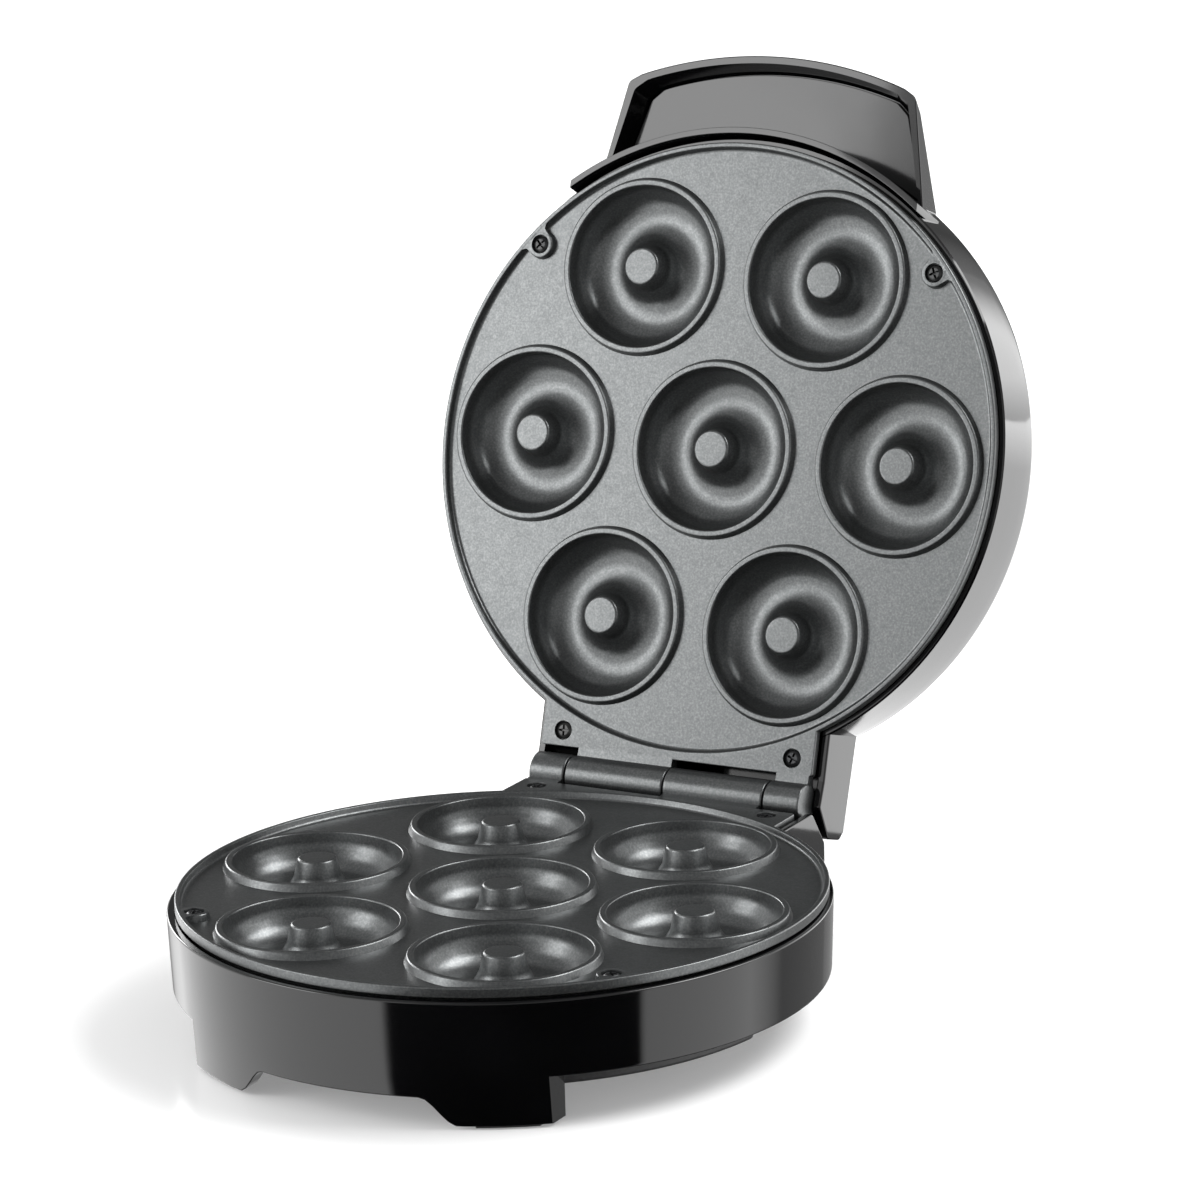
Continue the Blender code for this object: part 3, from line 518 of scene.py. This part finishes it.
def screw_draft():
    """A pan-head screw with a cross recess, its head's top at z = 0."""
    head = rounded(((0, 0, 0), (1.7, 0, 0.6), (HEAD_RADIUS, -0.65, 0.5), (HEAD_RADIUS, -1.3, 0.1),
                    (1.4, -1.3, 0), (1.4, -9, 0.3), (0, -9, 0)), 5)
    screw = turned(head, SMALL_SIDES)
    arm, half = CROSS_ARM, CROSS_HALF
    outline = []
    for k in range(4):
        turn = math.radians(90 * k)
        across, along = math.cos(turn), math.sin(turn)
        for u, v in ((half, -half), (arm, -half * 0.8), (arm, half * 0.8)):
            outline.append((u * across - v * along, u * along + v * across))
    small = [(u * CROSS_TAPER, v * CROSS_TAPER) for u, v in outline]
    return cut(screw, loft(small, outline, -CROSS_DEPTH, 0.1))


def make_plate_screws(side, place):
    for number, (x, y) in enumerate(both_sides((FRONT_SCREW, REAR_SCREW)), 1):
        spin = Matrix.Rotation(math.radians(SCREW_SPIN * number), 4, "Z")
        where = place @ Matrix.Translation((x, y, HEAD_TOP)) @ spin
        name = f"{side}_plate_screw_{number}"
        piece(screw_draft(), name + "_look", name, materials["screw"], where)


# ---- Base ----


def wall_radius(z):
    """The base wall's outer radius: it draws in a little towards its lower edge and again to the feet."""
    if z > BASE_EDGE_Z:
        return HOUSING_RADIUS + (HOUSING_RADIUS - BASE_EDGE_RADIUS) * (z + RIM_Z) / (-RIM_Z - BASE_EDGE_Z)
    return BASE_EDGE_RADIUS + (BASE_EDGE_RADIUS - FOOT_RADIUS) * (z - BASE_EDGE_Z) / (BASE_EDGE_Z - FOOT_Z)


def wall_section(low):
    """The wall's closed section as (radius, z), down to low, with the thicker lower part of the front."""
    outer = wall_radius(low)
    inner = BASE_EDGE_RADIUS - WALL
    if low > BASE_EDGE_Z - 1:
        lower = [(outer - WALL, low, 0), (inner, low + 0.6, 0)]
    else:
        foot_inner = outer - FOOT_THICK
        lower = [(foot_inner, low, 0), (foot_inner, BASE_EDGE_Z, 0), (inner, BASE_EDGE_Z, 0)]
    # Every section has the same number of points
    lower += [lower[-1]] * (3 - len(lower))
    turn = max(low + 1, BASE_EDGE_Z)
    return rounded([
        (HOUSING_RADIUS - WALL, -RIM_Z, 0), (HOUSING_RADIUS, -RIM_Z, 0.55), (wall_radius(-15), -15, 0),
        (wall_radius(turn), turn, 0), (outer, low, 0.5),
    ] + lower, 4)


def front_edge(x):
    """The height of the front skirt's lower edge at x: a skirt between two feet with S-shaped slopes."""
    reach = abs(x)
    if reach >= FOOT_INNER:
        return FOOT_Z
    if reach <= SLOPE_TOP:
        return SKIRT_EDGE_Z
    t = (reach - SLOPE_TOP) / (FOOT_INNER - SLOPE_TOP)
    return SKIRT_EDGE_Z + (FOOT_Z - SKIRT_EDGE_Z) * t * t * (3 - 2 * t)


def make_base_wall():
    rings = []
    for k in range(FRONT_STEPS + 1):
        x = FOOT_HALF * (2 * k / FRONT_STEPS - 1)
        if k == 0:
            rings.append(front_ring(x, BASE_EDGE_Z))
        rings.append(front_ring(x, front_edge(x)))
    rings.append(front_ring(FOOT_HALF, BASE_EDGE_Z))
    first = math.degrees(math.asin(FOOT_HALF / HOUSING_RADIUS)) + 2
    for k in range(REAR_STEPS + 1):
        turn = math.radians(first + (360 - 2 * first) * k / REAR_STEPS)
        section = wall_section(BASE_EDGE_Z)
        rings.append([(r * math.sin(turn), BASE_CENTRE_Y - r * math.cos(turn), z) for r, z in section])
    return skin(rings, True)


def front_ring(x, low):
    """One section of the front wall in the plane of this x."""
    return [(x, BASE_CENTRE_Y - math.sqrt(r * r - x * x), z) for r, z in wall_section(low)]


def make_rear_block():
    low = BASE_EDGE_Z
    outline = rounded(((84, -8.8, 0), (112.7, -8.8, 1.5), (BLOCK_REAR, -13.2, 2.0), (BLOCK_REAR, low, 0.8),
                       (84, low, 0)), 5)
    solid = soften(slab(outline, -BLOCK_HALF, BLOCK_HALF, "X"), 0.7)
    inside = BLOCK_HALF - WALL
    cheek = rounded((
        (87.2, -1.65, 0.8), (107.6, -1.65, 2.5), (BLOCK_REAR, -13.3, 1.5),
        (BLOCK_REAR, -20, 0), (87.2, -20, 0),
    ), 6)
    for side in (-1, 1):
        near, far = sorted((side * BLOCK_HALF, side * inside))
        joined(solid, soften(slab(cheek, near, far, "X"), 0.5))
        near, far = sorted((side * 35.4, side * (BLOCK_HALF - 0.05)))
        foot = soften(block((near, 106.5, FOOT_Z), (far, BLOCK_REAR - 0.1, -24)), 0.7)
        joined(solid, foot)
    return solid


def make_base_housing():
    wall = make_base_wall()
    joined(wall, make_rear_block())
    inside = BLOCK_HALF - WALL
    rear = BLOCK_REAR - WALL
    cut(wall, block((-inside, 60, -24.5), (inside, rear, -11.2)))
    cut(wall, block((-inside, 60, -30), (inside, 106.2, -20)))
    cut(wall, block((-35.1, 100, -30), (35.1, rear, -20)))
    cut(wall, block((-inside, 60, -8.7), (inside, 103, 0)))
    cut(wall, disc(96.4, 0, -24.5))
    cut(wall, slab(arc((CORD_X, CORD_Z), 4.1, 0, 352, 44), 108, 120, "Y"))
    pockets = []
    pad_top = FOOT_Z + PAD_DEPTH
    for side in (-1, 1):
        near, far = sorted((side * 36.7, side * 49.8))
        pockets.append(block((near, 108.3, -50), (far, 113.7, pad_top)))
        near, far = sorted((side * 40.7, side * 57.3))
        outline = ((98.2, pad_top), (98.2, -50), (94.9, -50), (94.9, pad_top))
        ring = turned(outline, ROUND, (0, BASE_CENTRE_Y))
        pockets.append(common(ring, block((near, -110, -60), (far, -60, 0))))
    cut(wall, together(pockets))
    piece(wall, "base_shell", "base_housing", materials["housing"], base_place)


def make_bottom_cover():
    top, low = COVER_TOP, COVER_LOW
    centre = (0, BASE_CENTRE_Y)
    cover = disc(97.3, top, low, ROUND, centre)
    joined(cover, block((-49.2, 60, low + 0.05), (49.2, 105.9, top - 0.05)))
    joined(cover, block((-34.8, 90, low + 0.05), (34.8, 113, top - 0.05)))
    section = rounded(((0, low + 0.5, 0), (93.8, low + 0.5, 0), (93.8, -32, 1.4), (0, -32, 0)), 5)
    tray = turned(section, ROUND, centre)
    common(tray, block((-120, -120, -60), (120, -15, 0)))
    joined(cover, soften(tray, 0.6, 3, 60))
    front_screw, rear_screw = COVER_SCREWS
    wells = [disc(3.7, low + 1.3, -60, SMALL_SIDES, place) for place in both_sides((front_screw,))]
    wells += [disc(1.75, 0, -60, 32, place) for place in both_sides((rear_screw,))]
    cut(cover, together(wells))
    slots = []
    for row in range(-4, 5):
        reach = 26 - abs(row) * 2.2
        outline = rounded(((-reach, row * 7.0 - 1.3, 1.29), (reach, row * 7.0 - 1.3, 1.29),
                           (reach, row * 7.0 + 1.3, 1.29), (-reach, row * 7.0 + 1.3, 1.29)), 5)
        slots.append(slab([(x, y + 34) for x, y in outline], -60, low + 0.9))
    cut(cover, together(slots))
    piece(cover, "base_cover", "bottom_cover", materials["cover"], base_place)


def make_cover_screws():
    for number, (x, y) in enumerate(both_sides(COVER_SCREWS), 1):
        top = COVER_LOW - 0.3 if y < 0 else COVER_LOW - 1.6
        where = base_place @ Matrix.Translation((x, y, top)) @ Matrix.Rotation(math.pi, 4, "X")
        name = f"cover_screw_{number}"
        piece(screw_draft(), name + "_look", name, materials["screw"], where)


def make_bushing():
    outside = BLOCK_REAR + 0.3
    inside = BLOCK_REAR - WALL - 0.3
    profile = rounded((
        (5.6, outside + 1.8, 0.8), (5.6, outside, 0.2), (3.8, outside, 0), (3.8, inside, 0),
        (5.0, inside, 0.2), (5.0, inside - 1.6, 0.4), (3.0, inside - 1.6, 0.2), (3.0, outside + 1.8, 0.5),
    ), 4)
    where = base_place @ Matrix.Translation((CORD_X, 0, CORD_Z)) @ Matrix.Rotation(-math.pi / 2, 4, "X")
    piece(turned(profile, 64), "cord_inlet", "cord_bushing", materials["rubber"], where)


# ---- Lid ----


def dome_profile():
    """The lid's closed section: its outer skin from the apex down to the rim, and back inside."""
    dome = []
    for inner_end, outer_end in zip(DOME_RADII, DOME_RADII[1:]):
        for step in range(4):
            r = inner_end + (outer_end - inner_end) * step / 4
            dome.append((r, LID_TOP - DOME_DROP * (r / DOME_RADII[-1]) ** DOME_CURVE))
    shoulder = arc((91.1, LID_SHOULDER), 10, 66, 5, 14)
    wall = [
        (101.2, LID_SHOULDER - 4), (101.25, 12),
        (HOUSING_RADIUS, RIM_Z + 0.5), (HOUSING_RADIUS - 0.5, RIM_Z),
    ]
    inner = [
        (HOUSING_RADIUS - WALL, RIM_Z), (98.7, LID_SHOULDER - 1), (91.1, 31.6), (82, LID_TOP - 10.9),
        (47.5, LID_TOP - 4.9), (0, LID_TOP - WALL),
    ]
    return dome + shoulder + wall + inner


def handle_outline(inset, flare=0.4):
    root_x, root_y = 59.2, -83.0
    tip_x, tip_y = 52.2 - inset, -119.0 + inset
    radius = 144.2 - inset
    corner_x = tip_x - 4.5
    last = math.degrees(math.acos(corner_x / radius))
    front = arc((0, 14.5), radius, 180 + last, 360 - last, 48)
    corner_y = front[-1][1]
    side = (root_x - inset * (1 - flare), root_y)
    bend = rounded((
        (*side, 0), (tip_x, tip_y, 3.0), (corner_x, corner_y, 3.0), (0, corner_y - 10, 0),
    ), 6)[1:-1]
    left = [(-x, y) for x, y in bend]
    return [(-side[0], side[1])] + left + front[1:-1] + list(reversed(bend)) + [side]


def tilted_loft(lower, upper, low, high, tilt):
    start = min(y for _, y in upper)
    bottom = [(x, y, low) for x, y in lower]
    top = [(x, y, high + tilt * (y - start)) for x, y in upper]
    return skin([bottom, top], False)


def make_handle():
    shell = tilted_loft(handle_outline(0), handle_outline(3.3), 12.5, 22.8, 0.12)
    soften(shell, 0.5, 3, 30)
    recess = loft(handle_outline(2.4), handle_outline(5.1), 12.0, 21.3)
    cut(shell, recess)
    return cut(shell, disc(HOUSING_RADIUS - WALL / 2, 40, 0))


def make_lid_housing():
    lid = turned(dome_profile())
    visor = common(
        turned(((101.7, 18), (VISOR_RADIUS, 0), (VISOR_RADIUS - 2, 0), (99.6, 18))),
        block((-VISOR_HALF, -120, -1), (VISOR_HALF, -60, 19)),
    )
    joined(lid, soften(visor, 0.3, 2, 40))
    joined(lid, make_handle())
    ear = rounded(((84, 3.9, 0), (102, 3.9, 1), (110.6, 2.8, 1.5), (120.3, 11.6, 2.5), (120.3, 20.4, 1.5),
                   (117.5, 22.9, 1.5), (84, 24.7, 0)), 6)
    hollow = rounded(((70, -1, 0), (108, -1, 1), (117.9, 8.5, 1.5), (117.9, 19.4, 1), (116.5, 20.6, 1),
                      (70, 22.3, 0)), 4)
    inside = BLOCK_HALF - WALL
    joined(lid, soften(slab(ear, -BLOCK_HALF, BLOCK_HALF, "X"), 0.7))
    cut(lid, slab(hollow, -inside, inside, "X"))
    cut(lid, disc(95.0, 24, -1))
    cut(lid, together([disc(3.7, 60, 20, SMALL_SIDES, (x, LAMP_Y)) for x in LAMP_PLACES.values()]))
    piece(lid, "lid_shell", "lid_housing", materials["housing"], lid_place)


def make_handle_panel():
    panel = slab(handle_outline(5.4), 19.8, 21.0)
    cut(panel, disc(HOUSING_RADIUS + 0.6, 40, 0))
    soften(panel, 0.25, 2)
    piece(panel, "handle_floor", "handle_panel", materials["panel"], lid_place)


def make_lenses():
    top = LID_TOP - 3.2
    profile = rounded((
        (0, top, 0), (2.2, top - 0.4, 2), (3.4, top - 1.3, 0.6), (3.4, 31, 0.2), (0, 31, 0),
    ), 6)
    for name, x in LAMP_PLACES.items():
        tone = "red_lens" if name == "power" else "green_lens"
        where = lid_place @ Matrix.Translation((x, LAMP_Y, 0))
        piece(turned(profile, SMALL_SIDES), f"{name}_lens", f"{name}_lamp_lens", materials[tone], where)


# ---- The CAD nodes that stay ----


def dress_kept_nodes():
    """The hidden and small nodes keep their shape and take a detailed material."""
    looks = {
        "heating_element": "element",
        "heat_shield": "steel", "shield_screw": "steel", "hinge_pin": "steel",
        "thermal_fuse": "ceramic", "thermostat": "ceramic", "terminal_block": "ceramic",
        "foot_pad": "rubber", "lamp_bulb": "bulb",
    }
    for name, node in frame["nodes"].items():
        for part, look in looks.items():
            if part in name:
                node.data.materials.clear()
                node.data.materials.append(materials[look])
        if "foot_pad" in name:
            bevel = node.modifiers.new("Soften", "BEVEL")
            bevel.width = 0.4 * MM
            bevel.segments = 2


# ---- Stage: floor, lights, camera ----


def make_floor():
    """A pale, slightly glossy table top that glows, less near the appliance as a painted shadow around it,
    and fades into white farther out.

    Polished parts don't mirror it, only the studio around it.
    """
    bm = bmesh.new()
    bmesh.ops.create_circle(bm, cap_ends=True, segments=64, radius=6)
    floor = draft(bm)
    floor.name = "floor"
    floor.location.z = FLOOR_DROP
    nodes = Nodes("floor", (0.85, 0.85, 0.85), 0.2)
    nodes.shader.inputs["Emission Color"].default_value = (1, 1, 1, 1)
    away = nodes.tree.nodes.new("ShaderNodeVectorMath")
    away.operation = "LENGTH"
    nodes.tree.links.new(nodes.coordinates, away.inputs[0])
    # Painted shadow: the floor glows less near the appliance than far from it
    nodes.link(nodes.spread(away.outputs["Value"], *FLOOR_GLOW_WITH_PAINTED_SHADOW, *FLOOR_FADE), "Emission Strength")
    nodes.link(nodes.spread(nodes.noise(3, 2), 0.18, 0.24), "Roughness")
    floor.data.materials.append(nodes.material)
    floor.visible_glossy = False


# The floor's own glow near the appliance and far from it, and the distances between which it fades; the
# lower glow near the appliance is a painted shadow
FLOOR_GLOW_WITH_PAINTED_SHADOW = (0.22, 0.9)
FLOOR_FADE = (0.16, 0.36)
FLOOR_DROP = -0.0001

# The studio's brightness by azimuth in degrees, from the front towards +X: below the table top and above
BELOW = ((-180, 0.4), (-138, 0.4), (-118, 2.5), (-12.5, 2.3), (-10.5, 0.0), (77.5, 0.0), (79.5, 2.0),
         (125, 2.3), (143, 0.5), (180, 0.3))
ABOVE = ((-180, 0.5), (-172, 0.14), (-142, 0.16), (-122, 2.2), (-98, 2.3), (-8, 2.0), (5, 0.75),
         (70, 0.75), (85, 1.6), (130, 2.0), (158, 3.6), (171, 3.6), (178, 0.7))
# The same by height, as the sine of the elevation: under the table, and up to the ceiling
UNDER = ((0, 0.12), (0.3, 0.2), (0.5, 1.0))
STUDIO_TOP = ((0.2, 1.0), (0.45, 0.7), (0.65, 0.3), (1, 0.3))
HORIZON = (-0.2, 0.0)
KEY_RADIANCE = 4.7

# The camera: azimuth, elevation and roll in degrees, its place in plate coordinates, lens and film width
CAMERA_ANGLES = (28.934, 14.3825, -1.5448)
CAMERA_PLACE = (754.2, -1298.05, 472.8)
CAMERA_LENS = 155.07
CAMERA_FILM = 36


def area_light(name, place, target, size, radiance):
    """A rectangular softbox of that radiance, turned to its target. The camera doesn't see it."""
    data = bpy.data.lights.new(name, "AREA")
    data.shape = "RECTANGLE"
    data.size, data.size_y = size
    data.energy = radiance * math.pi * size[0] * size[1]
    lamp = bpy.data.objects.new(name, data)
    bpy.context.scene.collection.objects.link(lamp)
    lamp.location = place
    lamp.rotation_euler = (Vector(target) - Vector(place)).to_track_quat("-Z", "Y").to_euler()
    lamp.visible_camera = False


def around(azimuth, elevation, distance):
    """A place seen from the origin at that azimuth, from the front towards +X, and elevation."""
    turn, rise = math.radians(azimuth), math.radians(elevation)
    flat = distance * math.cos(rise)
    return (flat * math.sin(turn), -flat * math.cos(turn), distance * math.sin(rise))


def make_lights():
    middle = (0, 0.06, 0.12)
    moulds = (0, -0.05, 0.04)
    area_light("key", around(-44.5, 27, 0.95), middle, (0.42, 0.5), KEY_RADIANCE)
    area_light("high_right", around(120, 52, 1.1), moulds, (0.75, 0.5), 10.0)
    area_light("low_left", around(-116, 19, 1.2), moulds, (0.42, 0.36), 9.0)
    area_light("bounce", (0.35, 0.95, 0.004), (0.35, 0.95, 1), (1.1, 1.6), 2.4)


def make_world():
    """A white cove for the camera, and around the table a studio of light walls with dark gaps."""
    world = bpy.data.worlds.new("studio")
    bpy.context.scene.world = world
    world.use_nodes = True
    tree = world.node_tree

    def node(kind, **settings):
        made = tree.nodes.new("ShaderNode" + kind)
        for name, value in settings.items():
            setattr(made, name, value)
        return made

    def levels(value, points):
        """A ramp of grey levels over 0 to 1."""
        ramp = node("ValToRGB")
        elements = ramp.color_ramp.elements
        while len(elements) < len(points):
            elements.new(0.5)
        for element, (position, level) in zip(elements, points):
            element.position = position
            element.color = (level, level, level, 1)
        tree.links.new(value, ramp.inputs["Fac"])
        return ramp.outputs["Color"]

    def part_of(value, low, high):
        """Where the value lies between low and high, as 0 to 1."""
        span = node("MapRange")
        span.inputs["From Min"].default_value = low
        span.inputs["From Max"].default_value = high
        tree.links.new(value, span.inputs["Value"])
        return span.outputs["Result"]

    def blend(kind, factor, first, second):
        mix = node("Mix", data_type="RGBA", blend_type=kind)
        if isinstance(factor, (int, float)):
            mix.inputs["Factor"].default_value = factor
        else:
            tree.links.new(factor, mix.inputs["Factor"])
        tree.links.new(first, mix.inputs["A"])
        tree.links.new(second, mix.inputs["B"])
        return mix.outputs["Result"]

    parts = node("SeparateXYZ")
    tree.links.new(node("TexCoord").outputs["Generated"], parts.inputs[0])
    forward = node("Math", operation="MULTIPLY")
    forward.inputs[1].default_value = -1
    tree.links.new(parts.outputs["Y"], forward.inputs[0])
    azimuth = node("Math", operation="ARCTAN2")
    tree.links.new(parts.outputs["X"], azimuth.inputs[0])
    tree.links.new(forward.outputs[0], azimuth.inputs[1])
    turn = part_of(azimuth.outputs[0], -math.pi, math.pi)
    below = levels(turn, [((angle + 180) / 360, level) for angle, level in BELOW])
    above = levels(turn, [((angle + 180) / 360, level) for angle, level in ABOVE])
    walls = blend("MIX", part_of(parts.outputs["Z"], *HORIZON), below, above)
    shade = blend("MULTIPLY", 1, walls, levels(parts.outputs["Z"], STUDIO_TOP))
    depth = part_of(parts.outputs["Z"], -1, 0)
    shade = blend("MULTIPLY", 1, shade, levels(depth, UNDER))
    studio = tree.nodes["Background"]
    tree.links.new(shade, studio.inputs["Color"])
    cove = node("Background")
    cove.inputs["Color"].default_value = (1, 1, 1, 1)
    choose = node("MixShader")
    tree.links.new(node("LightPath").outputs["Is Camera Ray"], choose.inputs["Fac"])
    tree.links.new(studio.outputs[0], choose.inputs[1])
    tree.links.new(cove.outputs[0], choose.inputs[2])
    tree.links.new(choose.outputs[0], tree.nodes["World Output"].inputs["Surface"])


def make_camera():
    """The camera stands to the right of the front and a little above, far off with a long lens."""
    azimuth, elevation, roll = (math.radians(angle) for angle in CAMERA_ANGLES)
    back = Vector((math.sin(azimuth) * math.cos(elevation), -math.cos(azimuth) * math.cos(elevation),
                   math.sin(elevation)))
    level = Vector((math.cos(azimuth), math.sin(azimuth), 0))
    upward = back.cross(level)
    right = level * math.cos(roll) + upward * math.sin(roll)
    up = upward * math.cos(roll) - level * math.sin(roll)
    data = bpy.data.cameras.new("camera")
    data.lens = CAMERA_LENS
    data.sensor_width = CAMERA_FILM
    camera = bpy.data.objects.new("camera", data)
    bpy.context.scene.collection.objects.link(camera)
    matrix = Matrix((right, up, back)).transposed().to_4x4()
    matrix.translation = (base_place.translation + Vector(CAMERA_PLACE)) * MM
    camera.matrix_world = matrix
    bpy.context.scene.camera = camera


make_camera()
make_plate("lower_plate", "lower_baking_plate", 60, base_place)
make_plate("upper_plate", "upper_baking_plate", 46.5, upper_place)
make_plate_screws("lower", base_place)
make_plate_screws("upper", upper_place)
make_base_housing()
make_bottom_cover()
make_cover_screws()
make_bushing()
make_lid_housing()
make_handle_panel()
make_lenses()
dress_kept_nodes()
make_floor()
make_world()
make_lights()
bpy.context.scene.view_settings.view_transform = "Standard"
bpy.context.view_layer.update()
